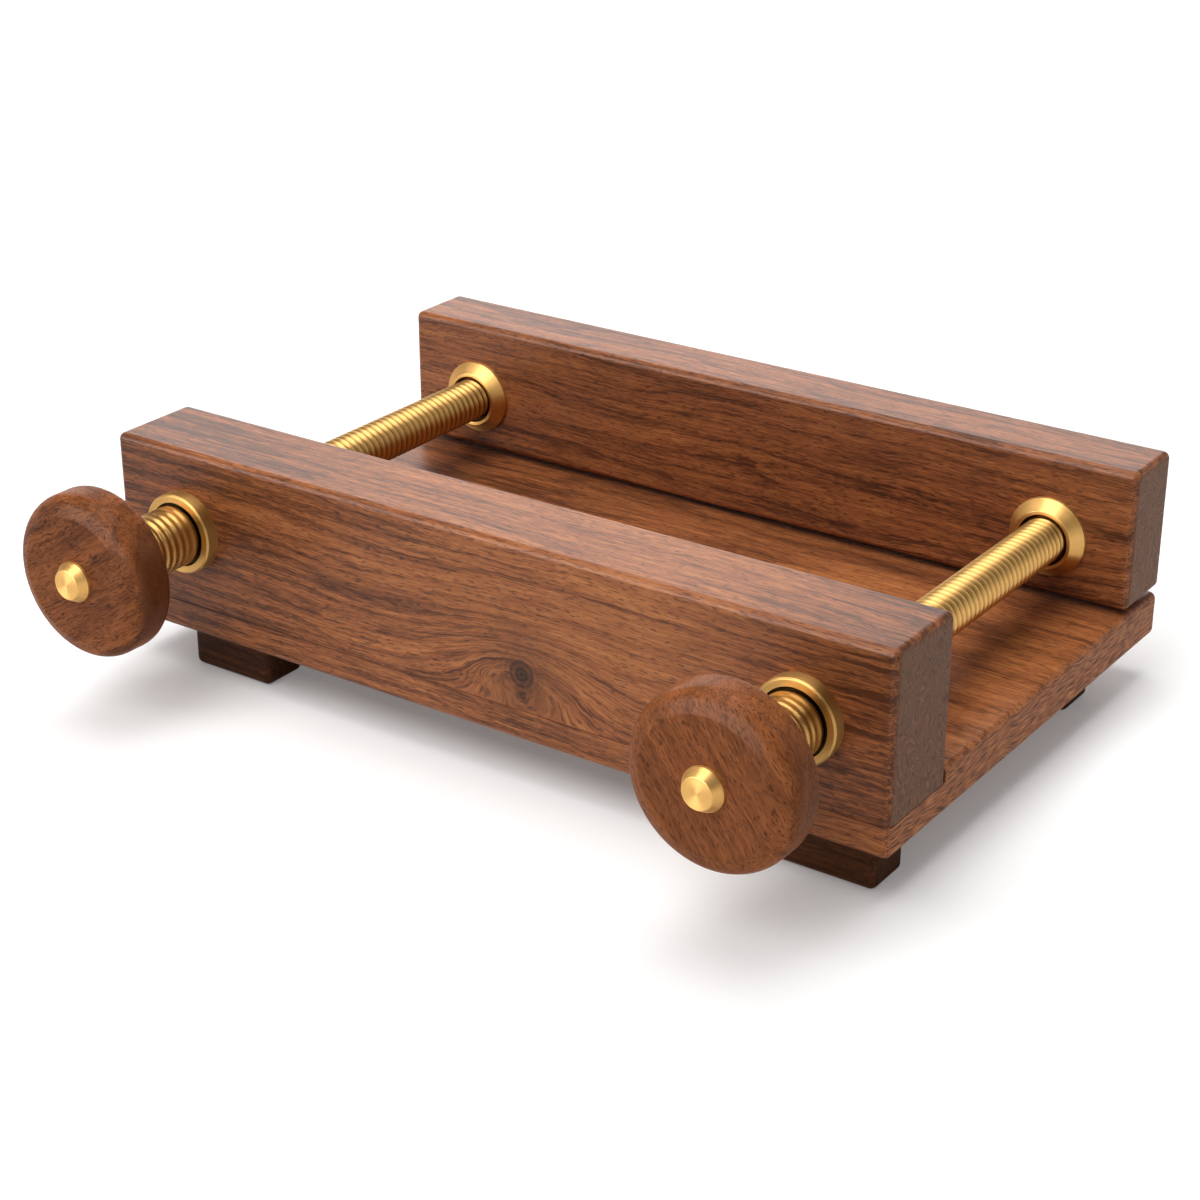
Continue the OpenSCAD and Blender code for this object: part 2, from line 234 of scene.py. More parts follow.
# The figure of the walnut, with lengths and widths in millimetres along and across the grain.
GRAIN_DRIFT = (130, 42, 42)      # patches in which the grain wanders
GRAIN_RIPPLE = (4, 4, 4)         # patches in which it curls
STREAKS = {                      # length, width, detail, and weight in the wood's tone
    "broad": (150, 8, 2.0, 0.55),
    "middle": (62, 1.5, 2.0, 0.65),
    "fine": (13, 0.5, 1.0, 0.75),
}
STREAK_ROUGHNESS = 0.6
YEAR_PATCHES = (90, 14, 2.0)     # length, width and detail of the patches that grew unevenly
YEAR_SWING = 3.0                 # years by which such a patch shifts a line
YEAR_LINE = ((0.0, 0.0), (0.45, 0.08), (0.9, 1.0), (1.0, 0.0))
YEAR_SHADE = 0.16
PORES = (3.2, 0.42, 0.0)         # length, width and detail; real ones are a third as wide and wouldn't show
PORE_LIMITS = (0.6, 0.72)
WOOD_TONES = (0.16, 0.46, 0.8)   # tones of the dark, the middle and the light wood

# A knot, in millimetres.
KNOT_REACH = (26.0, 13.0)        # how far off, along and across, the grain still flows round it
KNOT_LIFT = 14.5                 # how far it pushes the grain aside
KNOT_CURL = 5.0                  # size of the curls beside it
KNOT_CURL_SWING = 3.6            # how far these swing
KNOT_RING = 2.1                  # distance between its rings
KNOT_RING_REACH = (11.0, 4.0)    # where its rings begin, and where they show fully
KNOT_RING_SHADE = 0.12
KNOT_HAZE = 24.0                 # radius of the dark haze round it
KNOT_SHADES = ((0.0, 1.0), (0.06, 0.95), (0.1, 0.78), (0.19, 0.7), (0.23, 0.42), (0.5, 0.2), (1.0, 0.0))

# Sawn ends. A face's normal along X, along which a board's grain runs, says where they begin and where they
# show fully.
PLANED_END = (0.82, 0.97)
# On a turned piece the same mask darkens its left and right sides whatever way the grain runs, partly end
# grain and partly a painted shade.
TURNED_END_AND_SIDE_SHADE = (0.6, 0.95)
END_ROUGHNESS = 0.85
END_DASHES = (7.0, 0.6)          # depth and height of the dashes, in millimetres
DASH_TONES = (0.34, 0.5, 0.66)
END_CURLS = (10.0, 14.0)         # depth and height of the patches that the curls follow, in millimetres
CURL_TWIST = 2.0
CURL_BANDS = 7.0                 # how many curls share the range of those patches
CURL_SHADES = ((0.0, 1.0), (0.12, 0.5), (0.26, 1.0), (0.66, 1.0), (0.8, 1.6), (0.94, 1.0))

# The oiled surface of the walnut.
SATIN = (0.36, 0.46)             # roughness, from one streak to the next
OIL = {"Coat Roughness": 0.27, "Coat IOR": 1.4}
GRAIN_RELIEF = {"Strength": 0.3, "Distance": 0.1 * MM}
STAIN = 0.75                     # how far a stain hides the wood


def flow_round(tree, sawn, grain, knot):
    """The grain as it flows round a knot, and the distance from that knot in millimetres."""
    offset = add(tree, "ShaderNodeVectorMath", {0: sawn, 1: knot}, operation="SUBTRACT").outputs[0]
    shape = (1 / KNOT_REACH[0], 0, 1 / KNOT_REACH[1])
    near = add(tree, "ShaderNodeVectorMath", {0: offset, 1: shape}, operation="MULTIPLY").outputs[0]
    square = add(tree, "ShaderNodeVectorMath", {0: near, 1: near}, operation="DOT_PRODUCT").outputs["Value"]
    fall = add(tree, "ShaderNodeMath", {0: square, 1: -1.0}, operation="MULTIPLY").outputs[0]
    bell = add(tree, "ShaderNodeMath", {0: fall}, operation="EXPONENT").outputs[0]
    curls = add(tree, "ShaderNodeTexNoise", {"Vector": sawn, "Scale": 1 / KNOT_CURL, "Detail": 1.0})
    lift = add(tree, "ShaderNodeMath", {0: curls.outputs["Fac"], 1: KNOT_CURL_SWING, 2: KNOT_LIFT},
               operation="MULTIPLY_ADD").outputs[0]
    aside = add(tree, "ShaderNodeMath", {0: lift, 1: bell}, operation="MULTIPLY").outputs[0]
    bulge = add(tree, "ShaderNodeCombineXYZ", {"Z": aside}).outputs[0]
    flowing = add(tree, "ShaderNodeVectorMath", {0: grain, 1: bulge}, operation="SUBTRACT").outputs[0]
    flat = add(tree, "ShaderNodeVectorMath", {0: offset, 1: (1, 0, 1)}, operation="MULTIPLY").outputs[0]
    return flowing, add(tree, "ShaderNodeVectorMath", {0: flat}, operation="LENGTH").outputs["Value"]


def grain_space(tree, plank):
    """Millimetres along, across and up the tree, straight and along the grain, and those to a knot."""
    place = add(tree, "ShaderNodeTexCoord").outputs["Object"]
    sawn = add(tree, "ShaderNodeMapping", {"Vector": place, "Location": plank.heart, "Rotation": plank.turn,
                                           "Scale": (MM, MM, MM)}, vector_type="TEXTURE").outputs[0]
    grain = sawn
    drift = (GRAIN_DRIFT, 2.0, 0.5, 2 * plank.wander)
    ripple = (GRAIN_RIPPLE, 0.0, 0.0, 4 * plank.curl)
    for patch, detail, middle, swing in (drift, ripple):
        steps = tuple(1 / side for side in patch)
        spot = add(tree, "ShaderNodeVectorMath", {0: sawn, 1: steps}, operation="MULTIPLY").outputs[0]
        field = add(tree, "ShaderNodeTexNoise", {"Vector": spot, "Scale": 1.0, "Detail": detail})
        centred = add(tree, "ShaderNodeVectorMath", {0: field.outputs["Color"], 1: (middle,) * 3},
                      operation="SUBTRACT").outputs[0]
        grain = add(tree, "ShaderNodeVectorMath", {0: centred, 1: (0, swing, swing), 2: grain},
                    operation="MULTIPLY_ADD").outputs[0]
    if plank.knot:
        return sawn, *flow_round(tree, sawn, grain, plank.knot)
    return sawn, grain, None


def knot_shade(tree, distance):
    """How dark a knot makes the wood: a black heart, a dark disc, a few rings and a haze."""
    phase = add(tree, "ShaderNodeMath", {0: distance, 1: math.tau / KNOT_RING}, operation="MULTIPLY")
    wave = add(tree, "ShaderNodeMath", {0: phase.outputs[0]}, operation="COSINE").outputs[0]
    rings = add(tree, "ShaderNodeMapRange", {"Value": distance, **limits("From", KNOT_RING_REACH),
                                             **limits("To", (0.0, KNOT_RING_SHADE))}).outputs[0]
    share = add(tree, "ShaderNodeMath", {0: distance, 1: 1 / KNOT_HAZE}, operation="MULTIPLY").outputs[0]
    shade = add(tree, "ShaderNodeValToRGB", {"Fac": share}, KNOT_SHADES).outputs[0]
    return add(tree, "ShaderNodeMath", {0: wave, 1: rings, 2: shade}, operation="MULTIPLY_ADD",
               use_clamp=True).outputs[0]


def streaks(tree, grain, along, across, detail):
    """Noise drawn out along the grain, from its length and width in millimetres."""
    drawn = add(tree, "ShaderNodeVectorMath", {0: grain, 1: (1 / along, 1 / across, 1 / across)},
                operation="MULTIPLY").outputs[0]
    return add(tree, "ShaderNodeTexNoise", {"Vector": drawn, "Scale": 1.0, "Detail": detail,
                                            "Roughness": STREAK_ROUGHNESS}).outputs["Fac"]


def late_wood(tree, grain, ring):
    """1 on the dark line that ends each year's growth."""
    section = add(tree, "ShaderNodeVectorMath", {0: grain, 1: (0, 1, 1)}, operation="MULTIPLY").outputs[0]
    distance = add(tree, "ShaderNodeVectorMath", {0: section}, operation="LENGTH").outputs["Value"]
    years = add(tree, "ShaderNodeMath", {0: distance, 1: 1 / ring}, operation="MULTIPLY").outputs[0]
    uneven = streaks(tree, grain, *YEAR_PATCHES)
    phase = add(tree, "ShaderNodeMath", {0: uneven, 1: YEAR_SWING, 2: years},
                operation="MULTIPLY_ADD").outputs[0]
    year = add(tree, "ShaderNodeMath", {0: phase}, operation="FRACT").outputs[0]
    return add(tree, "ShaderNodeValToRGB", {"Fac": year}, YEAR_LINE).outputs[0]


def tone_along(tree, sawn, tones):
    """A tone from dark to light at places in millimetres along the plank."""
    first, last = tones[0][0], tones[-1][0]
    along = add(tree, "ShaderNodeSeparateXYZ", {0: sawn}).outputs["X"]
    share = add(tree, "ShaderNodeMapRange", {"Value": along, **limits("From", (first, last))}).outputs[0]
    stops = [((place - first) / (last - first), tone) for place, tone in tones]
    return add(tree, "ShaderNodeValToRGB", {"Fac": share}, stops).outputs[0]


def end_grain_and_side_shade(tree, turned):
    """1 on a board's ends, where the wood is cut across the grain, and on a turned piece's left and right
    sides, partly end grain and partly a painted shade.
    """
    normal = add(tree, "ShaderNodeTexCoord").outputs["Normal"]
    along = add(tree, "ShaderNodeSeparateXYZ", {0: normal}).outputs["X"]
    size = add(tree, "ShaderNodeMath", {0: along}, operation="ABSOLUTE").outputs[0]
    reach = TURNED_END_AND_SIDE_SHADE if turned else PLANED_END
    return add(tree, "ShaderNodeMapRange", {"Value": size, **limits("From", reach)},
               interpolation_type="SMOOTHSTEP").outputs[0]


def dark_to_light(colours, places):
    """Colour stops from the dark streaks of the walnut to its light wood."""
    return list(zip(places, (colours.walnut_dark, colours.walnut_mid, colours.walnut_light)))


def sawn_end(tree, plank, grain, colours):
    """The colour of a sawn end: grey brown with thin curls, or warmer with dashes from front to back."""
    deep, high = END_DASHES if plank.dashed_ends else END_CURLS
    twist = 0.0 if plank.dashed_ends else CURL_TWIST
    flat = add(tree, "ShaderNodeVectorMath", {0: grain, 1: (0, 1 / deep, 1 / high)}, operation="MULTIPLY")
    field = add(tree, "ShaderNodeTexNoise", {"Vector": flat.outputs[0], "Scale": 1.0, "Detail": 1.0,
                                             "Distortion": twist}).outputs["Fac"]
    if plank.dashed_ends:
        return add(tree, "ShaderNodeValToRGB", {"Fac": field}, dark_to_light(colours, DASH_TONES)).outputs[0]
    bands = add(tree, "ShaderNodeMath", {0: field, 1: CURL_BANDS}, operation="MULTIPLY").outputs[0]
    phase = add(tree, "ShaderNodeMath", {0: bands}, operation="FRACT").outputs[0]
    stops = [(place, shaded(colours.walnut_end, shade)) for place, shade in CURL_SHADES]
    return add(tree, "ShaderNodeValToRGB", {"Fac": phase}, stops).outputs[0]


def walnut(name, plank, colours, stain=None):
    """Black walnut, sawn, sanded and oiled to a satin sheen.

    The eye sees brown streaks along the grain, dark year lines, short open pores and greyer sawn ends."""
    material, tree = new_material(name)
    sawn, grain, from_knot = grain_space(tree, plank)
    tone = tone_along(tree, sawn, plank.tones)
    fields = {}
    for part, (along, across, detail, weight) in STREAKS.items():
        fields[part] = streaks(tree, grain, along, across, detail)
        centred = add(tree, "ShaderNodeMath", {0: fields[part], 1: 0.5}, operation="SUBTRACT").outputs[0]
        tone = add(tree, "ShaderNodeMath", {0: centred, 1: weight * plank.contrast, 2: tone},
                   operation="MULTIPLY_ADD").outputs[0]
    year = late_wood(tree, grain, plank.ring)
    tone = add(tree, "ShaderNodeMath", {0: year, 1: -YEAR_SHADE * plank.contrast, 2: tone},
               operation="MULTIPLY_ADD").outputs[0]
    rgb = add(tree, "ShaderNodeValToRGB", {"Fac": tone}, dark_to_light(colours, WOOD_TONES)).outputs[0]

    dashes = streaks(tree, grain, *PORES)
    pore = add(tree, "ShaderNodeMapRange", {"Value": dashes, **limits("From", PORE_LIMITS)},
               interpolation_type="SMOOTHSTEP").outputs[0]
    pores = add(tree, "ShaderNodeMath", {0: pore, 1: plank.pore_shade}, operation="MULTIPLY").outputs[0]
    # Dark ends, and on a turned piece dark left and right sides: partly end grain, partly a painted shade.
    across = end_grain_and_side_shade(tree, plank.turned)
    ends = add(tree, "ShaderNodeMath", {0: across, 1: plank.sawn}, operation="MULTIPLY").outputs[0]
    end_and_side_colour = opaque(colours.walnut_dark) if plank.turned else sawn_end(tree, plank, grain, colours)
    layers = [(pores, opaque(colours.walnut_pore)), (ends, end_and_side_colour)]
    if from_knot:
        layers.append((knot_shade(tree, from_knot), opaque(colours.walnut_pore)))
    if stain:
        layers.append((STAIN, opaque(stain)))
    for share, layer in layers:
        rgb = add(tree, "ShaderNodeMix", {0: share, 6: rgb, 7: layer}, data_type="RGBA").outputs[2]

    satin = add(tree, "ShaderNodeMapRange", {"Value": fields["middle"], **limits("To", SATIN)}).outputs[0]
    rough = add(tree, "ShaderNodeMix", {0: ends, 2: satin, 3: END_ROUGHNESS}, data_type="FLOAT").outputs[0]
    relief = add(tree, "ShaderNodeMath", {0: pore, 1: -1.0, 2: fields["fine"]}, operation="MULTIPLY_ADD")
    bump = add(tree, "ShaderNodeBump", {"Height": relief.outputs[0], **GRAIN_RELIEF}).outputs[0]
    wood = add(tree, "ShaderNodeBsdfPrincipled", {"Base Color": rgb, "Roughness": rough, "IOR": plank.ior,
                                                  "Coat Weight": plank.polish, "Normal": bump, **OIL})
    add(tree, "ShaderNodeOutputMaterial", {"Surface": wood.outputs[0]})
    return material


# The marks of the lathe, and the painted shade of grooves and recesses.
TURNING_MARKS = (2.0, 900.0, 1.0)    # marks in one turn, and in a metre along the outline
MARK_TONES = (0.3, 0.7)
MARK_SHADE = 0.85
MARK_RELIEF = {"Strength": 0.03, "Distance": 0.05 * MM}
# Recesses and the roots of a thread get a painted shade, for the shade that falls in them.
RECESS_DEPTH = 0.4 * MM              # how far in a recess is fully dark
PAINTED_RECESS_SHADE = 0.06
ROOT_SPAN = (-0.5, 1.0)              # cosine where a thread's root begins, and where it is deepest
PAINTED_ROOT_SHADE = 0.58
QUARTER_TURN = 0.25
FACED = {"gloss": (0.34, 0.44), "draw": 0.8}    # a flat that the lathe has cut across


def turned_brass(name, colours, gloss=(0.29, 0.38), draw=0.25, shade=0.8, pitch=None):
    """Brass turned on a lathe, whose fine rings draw the light into fans; below V = 0 it gets a painted
    shade.

    The rings are a few hundredths of a millimetre apart, and are drawn coarser so that they show.
    A shade below 1 makes a darker copy of the brass, a painted shade, and with a pitch the roots of the
    thread get a painted shade too."""
    material, tree = new_material(name)
    clear = shaded(colours.brass, shade)
    painted_shade_colour = opaque(shaded(colours.brass, PAINTED_RECESS_SHADE))
    rings = add(tree, "ShaderNodeUVMap", uv_map=TURNED_UV).outputs[0]
    fine = add(tree, "ShaderNodeVectorMath", {0: rings, 1: TURNING_MARKS}, operation="MULTIPLY").outputs[0]
    marks = add(tree, "ShaderNodeTexNoise", {"Vector": fine, "Scale": 1.0, "Detail": 2.0}).outputs["Fac"]
    rough = add(tree, "ShaderNodeMapRange", {"Value": marks, **limits("To", gloss)}).outputs[0]
    stops = list(zip(MARK_TONES, (shaded(clear, MARK_SHADE), clear)))
    shine = add(tree, "ShaderNodeValToRGB", {"Fac": marks}, stops).outputs[0]
    depth = add(tree, "ShaderNodeSeparateXYZ", {0: rings}).outputs["Y"]
    # Painted shade: below V = 0, inside a recess, the brass turns nearly black.
    out_of_recess = add(tree, "ShaderNodeMapRange", {"Value": depth, **limits("From", (-RECESS_DEPTH, 0.0))})
    rgb = add(tree, "ShaderNodeMix", {0: out_of_recess.outputs[0], 6: painted_shade_colour, 7: shine}, data_type="RGBA").outputs[2]
    # Painted shade in the roots of the thread, for the shade that the ribs cast there.
    if pitch:
        helix = (-math.tau, math.tau / pitch, 0)
        phase = add(tree, "ShaderNodeVectorMath", {0: rings, 1: helix}, operation="DOT_PRODUCT")
        wave = add(tree, "ShaderNodeMath", {0: phase.outputs["Value"]}, operation="COSINE").outputs[0]
        root = add(tree, "ShaderNodeMapRange", {"Value": wave, **limits("From", ROOT_SPAN),
                                                **limits("To", (0.0, PAINTED_ROOT_SHADE))}).outputs[0]
        rgb = add(tree, "ShaderNodeMix", {0: root, 6: rgb, 7: painted_shade_colour}, data_type="RGBA").outputs[2]
    tangent = add(tree, "ShaderNodeTangent", direction_type="UV_MAP", uv_map=TURNED_UV).outputs[0]
    bump = add(tree, "ShaderNodeBump", {"Height": marks, **MARK_RELIEF}).outputs[0]
    metal = add(tree, "ShaderNodeBsdfPrincipled", {
        "Base Color": rgb, "Metallic": 1.0, "Roughness": rough, "Anisotropic": draw,
        "Anisotropic Rotation": QUARTER_TURN, "Tangent": tangent, "Normal": bump})
    add(tree, "ShaderNodeOutputMaterial", {"Surface": metal.outputs[0]})
    return material


PLATING_SPOTS = 0.9 * MM             # size of the mottle
PLATING_GLOSS = (0.28, 0.5)


def plated_steel(name, colours):
    """Zinc-plated steel: grey and slightly mottled, as screws come from the box."""
    material, tree = new_material(name)
    place = add(tree, "ShaderNodeTexCoord").outputs["Object"]
    mottle = add(tree, "ShaderNodeTexNoise", {"Vector": place, "Scale": 1 / PLATING_SPOTS, "Detail": 2.0})
    rough = add(tree, "ShaderNodeMapRange", {"Value": mottle.outputs["Fac"], **limits("To", PLATING_GLOSS)})
    metal = add(tree, "ShaderNodeBsdfPrincipled", {"Base Color": opaque(colours.steel), "Metallic": 1.0,
                                                   "Roughness": rough.outputs[0]})
    add(tree, "ShaderNodeOutputMaterial", {"Surface": metal.outputs[0]})
    return material


def finish_of(name, make, *arguments, **options):
    """The material of that name, made when it is first asked for."""
    return bpy.data.materials.get(name) or make(name, *arguments, **options)


def dress(node, material):
    """Gives a CAD node a better material."""
    frame["nodes"][node].data.materials[0] = material


EDGE_STEPS = 5                       # facets of a small rounding
ROUND_STEPS = 12                     # facets of a rounding that shows
SUPPORT = 0.3                        # reach of a rounding's supports, as a share of its radius
SHARP_ANGLE = math.radians(32)


def fillet(outline, index):
    """Points of one corner of a closed outline, with supports that keep the flats beside it flat."""
    before, corner, after = (Vector(outline[(index + k) % len(outline)][:2]) for k in (-1, 0, 1))
    given = outline[index][2:]
    rounding = given[0] if given else 0.0
    if not rounding:
        return [corner]
    steps = given[1] if len(given) > 1 else EDGE_STEPS
    inward, outward = (before - corner).normalized(), (after - corner).normalized()
    half = inward.angle(outward) / 2
    reach = rounding / math.tan(half)
    centre = corner + (inward + outward).normalized() * rounding / math.sin(half)
    start, end = corner + inward * reach, corner + outward * reach
    turn = (start - centre).angle_signed(end - centre)
    spread = [Matrix.Rotation(-turn * k / steps, 2) @ (start - centre) + centre for k in range(steps + 1)]
    support = SUPPORT * rounding
    return [start + inward * support, *spread, end + outward * support]


def revolve(outline, place, around, start=0):
    """A mesh turned from a closed outline of (radius, height, rounding, facets of that rounding).

    U of its UV map runs round the axis. V runs along the outline, with 0 at the corner that start names."""
    corners = [fillet(outline, i) for i in range(len(outline))]
    points = [point for corner in corners for point in corner]
    first = sum(len(corner) for corner in corners[:start])
    travel = [0.0]
    for a, b in zip(points, points[1:] + points[:1]):
        travel.append(travel[-1] + (b - a).length)
    bm = bmesh.new()
    uv = bm.loops.layers.uv.new(TURNED_UV)
    turns = [(math.cos(math.tau * k / around), math.sin(math.tau * k / around)) for k in range(around)]
    rings = []
    for r, y in points:
        if r < SAME_PLACE:
            rings.append([bm.verts.new(place @ Vector((0, 0, y)))] * around)
        else:
            rings.append([bm.verts.new(place @ Vector((r * c, r * s, y))) for c, s in turns])
    for i in range(len(points)):
        j = (i + 1) % len(points)
        for k in range(around):
            m = (k + 1) % around
            mapped = {}
            for vert, turn, row in ((rings[i][k], k, i), (rings[j][k], k, i + 1),
                                    (rings[j][m], k + 1, i + 1), (rings[i][m], k + 1, i)):
                mapped.setdefault(vert, (turn / around, travel[row] - travel[first]))
            if len(mapped) < 3:
                continue
            face = bm.faces.new(list(mapped))
            for loop in face.loops:
                loop[uv].uv = mapped[loop.vert]
    bmesh.ops.recalc_face_normals(bm, faces=bm.faces)
    mesh = bpy.data.meshes.new("turned")
    bm.to_mesh(mesh)
    bm.free()
    mesh.polygons.foreach_set("use_smooth", [True] * len(mesh.polygons))
    mesh.set_sharp_from_angle(angle=SHARP_ANGLE)
    return mesh


def put(name, mesh, material, body, slot, *nodes):
    """Makes a piece of a mesh, in the place of the CAD nodes that it stands for."""
    piece = bpy.data.objects.new(name, mesh)
    bpy.context.scene.collection.objects.link(piece)
    mesh.materials.clear()
    mesh.materials.append(material)
    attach(piece, body)
    if nodes:
        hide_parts(*nodes)
    return piece


def screw_axis(side):
    """Local +Z runs back along a screw's axis, with heights that are the frame's own Y."""
    middle = measure(f"{side}_screw")[0]
    return Matrix(((1, 0, 0, middle.x), (0, 0, 1, 0), (0, -1, 0, middle.z), (0, 0, 0, 1)))


def grow(tree, inputs, host=None):
    """A plain mesh of what a Geometry Nodes tree makes from its named inputs."""
    source = bpy.data.objects.new("grown", host or bpy.data.meshes.new("host"))
    bpy.context.scene.collection.objects.link(source)
    modifier = source.modifiers.new("Grow", "NODES")
    modifier.node_group = tree
    sockets = {item.name: item.identifier for item in tree.interface.items_tree if item.in_out == "INPUT"}
    for key, value in inputs.items():
        modifier[sockets[key]] = value
    grown = source.evaluated_get(bpy.context.evaluated_depsgraph_get())
    mesh = bpy.data.meshes.new_from_object(grown)
    bpy.data.objects.remove(source)
    return mesh


def new_tree(name, inputs):
    """A Geometry Nodes tree with named inputs, and the sockets of its input node and its output node."""
    tree = bpy.data.node_groups.new(name, "GeometryNodeTree")
    for key, kind in (("Geometry", "Geometry"), *inputs):
        tree.interface.new_socket(key, in_out="INPUT", socket_type=f"NodeSocket{kind}")
    tree.interface.new_socket("Geometry", in_out="OUTPUT", socket_type="NodeSocketGeometry")
    return tree, add(tree, "NodeGroupInput").outputs, add(tree, "NodeGroupOutput").inputs


def close_tree(tree, geometry, given, out):
    """Ends a tree: instances become real, and they get the material that is given."""
    real = add(tree, "GeometryNodeRealizeInstances", {"Geometry": geometry}).outputs[0]
    done = add(tree, "GeometryNodeSetMaterial", {"Geometry": real, "Material": given["Material"]})
    tree.links.new(done.outputs[0], out["Geometry"])
    return tree


def thread_tree():
    """A right-hand thread along Z: a grid that is sheared by one pitch a turn, rolled up and ribbed."""
    tree, given, out = new_tree("Right-hand thread", [
        ("Crest radius", "Float"), ("Depth", "Float"), ("Pitch", "Float"), ("Front", "Float"),
        ("Back", "Float"), ("Chamfer", "Float"), ("Turns", "Int"), ("Rows a turn", "Int"),
        ("Facets", "Int"), ("Material", "Material")])
    where = add(tree, "GeometryNodeInputPosition").outputs[0]
    flat = add(tree, "ShaderNodeSeparateXYZ", {0: where}).outputs
    values = {"x": flat["X"], "y": flat["Y"]}
    for socket in given:
        values[socket.name] = socket
    for name, operation, *terms in [
            ("rows", "MULTIPLY_ADD", "Turns", "Rows a turn", 1),
            ("columns", "ADD", "Facets", 1),
            ("length share", "ADD", "x", 0.5),
            ("turn share", "ADD", "y", 0.5),
            ("angle", "MULTIPLY", "turn share", math.tau),
            ("turn", "MULTIPLY", "length share", "Turns"),
            ("sheared", "ADD", "turn", "turn share"),
            ("started", "SUBTRACT", "sheared", 1.0),
            ("free height", "MULTIPLY_ADD", "started", "Pitch", "Front"),
            ("from front", "MAXIMUM", "free height", "Front"),
            ("height", "MINIMUM", "from front", "Back"),
            ("rib phase", "MULTIPLY", "turn", math.tau),
            ("rib wave", "COSINE", "rib phase"),
            ("rib", "MULTIPLY_ADD", "rib wave", -0.5, 0.5),
            ("core", "SUBTRACT", "Crest radius", "Depth"),
            ("ribbed", "MULTIPLY_ADD", "rib", "Depth", "core"),
            ("to front", "SUBTRACT", "height", "Front"),
            ("to back", "SUBTRACT", "Back", "height"),
            ("to end", "MINIMUM", "to front", "to back"),
            ("end radius", "SUBTRACT", "core", "Chamfer"),
            ("cone", "ADD", "end radius", "to end"),
            ("radius", "MINIMUM", "ribbed", "cone"),
            ("cosine", "COSINE", "angle"),
            ("sine", "SINE", "angle"),
            ("across", "MULTIPLY", "radius", "cosine"),
            ("up", "MULTIPLY", "radius", "sine")]:
        inputs = {slot: values.get(term, term) for slot, term in enumerate(terms)}
        values[name] = add(tree, "ShaderNodeMath", inputs, operation=operation).outputs[0]
    grid = add(tree, "GeometryNodeMeshGrid", {
        "Size X": 1.0, "Size Y": 1.0, "Vertices X": values["rows"], "Vertices Y": values["columns"]})
    unrolled = add(tree, "ShaderNodeCombineXYZ", {"X": values["turn share"], "Y": values["to front"]})
    mapped = add(tree, "GeometryNodeStoreNamedAttribute", {
        "Geometry": grid.outputs["Mesh"], "Name": TURNED_UV, "Value": unrolled.outputs[0]},
        data_type="FLOAT2", domain="CORNER").outputs[0]
    rolled = add(tree, "ShaderNodeCombineXYZ", {
        "X": values["across"], "Y": values["up"], "Z": values["height"]}).outputs[0]
    shaped = add(tree, "GeometryNodeSetPosition", {"Geometry": mapped, "Position": rolled}).outputs[0]
    closed = add(tree, "GeometryNodeMergeByDistance", {"Geometry": shaped, "Distance": SAME_PLACE})
    soft = add(tree, "GeometryNodeSetShadeSmooth", {"Geometry": closed.outputs[0]}).outputs[0]
    return close_tree(tree, soft, given, out)


def at_points_tree():
    """One source object, set on every point of the host mesh."""
    tree, given, out = new_tree("Fasteners at points", [("Fastener", "Object"), ("Material", "Material")])
    source = add(tree, "GeometryNodeObjectInfo", {"Object": given["Fastener"]}).outputs["Geometry"]
    placed = add(tree, "GeometryNodeInstanceOnPoints", {"Points": given["Geometry"], "Instance": source})
    return close_tree(tree, placed.outputs[0], given, out)


class BOOKPRESS_OT_boards(bpy.types.Operator):
    """Finish the base board and the two jaws in oiled walnut"""

    bl_idname = "book_press.boards"
    bl_label = "Boards and jaws"
    PLANKS = {
        # The base board darkens towards its left end: partly its own tone, partly a painted shade where the
        # front jaw shades it.
        "base_board": Plank(heart=(0.0, 0.03, -0.16), ring=6.0, dashed_ends=True,
                            tones=((-152, 0.34), (60, 0.46), (152, 0.5))),
        "front_jaw": Plank(heart=(0.0, 0.02, -0.05), ring=4.6, wander=5.0, knot=(20.2, 0.0, 89.0),
                           tones=((-152, 0.34), (-40, 0.47), (70, 0.52), (152, 0.31))),
        "rear_jaw": Plank(heart=(0.0, 0.2, -0.04), ring=5.4,
                          tones=((-152, 0.44), (0, 0.44), (152, 0.43))),
    }

    def execute(self, context):
        colours = chosen(context)[1]
        for node, plank in self.PLANKS.items():
            dress(node, finish_of(f"Oiled walnut, {node.replace('_', ' ')}", walnut, plank, colours))
        return {"FINISHED"}


class BOOKPRESS_OT_feet(bpy.types.Operator):
    """Finish the four feet in dark walnut"""

    bl_idname = "book_press.feet"
    bl_label = "Feet"
    PLANK = Plank(heart=(0.0, 0.0, -0.03), tones=((-152, 0.4), (152, 0.4)), polish=0.0, ior=1.15)

    def execute(self, context):
        colours = chosen(context)[1]
        for node in FEET:
            dress(node, finish_of("Dark walnut, feet", walnut, self.PLANK, colours, colours.foot_tone))
        return {"FINISHED"}


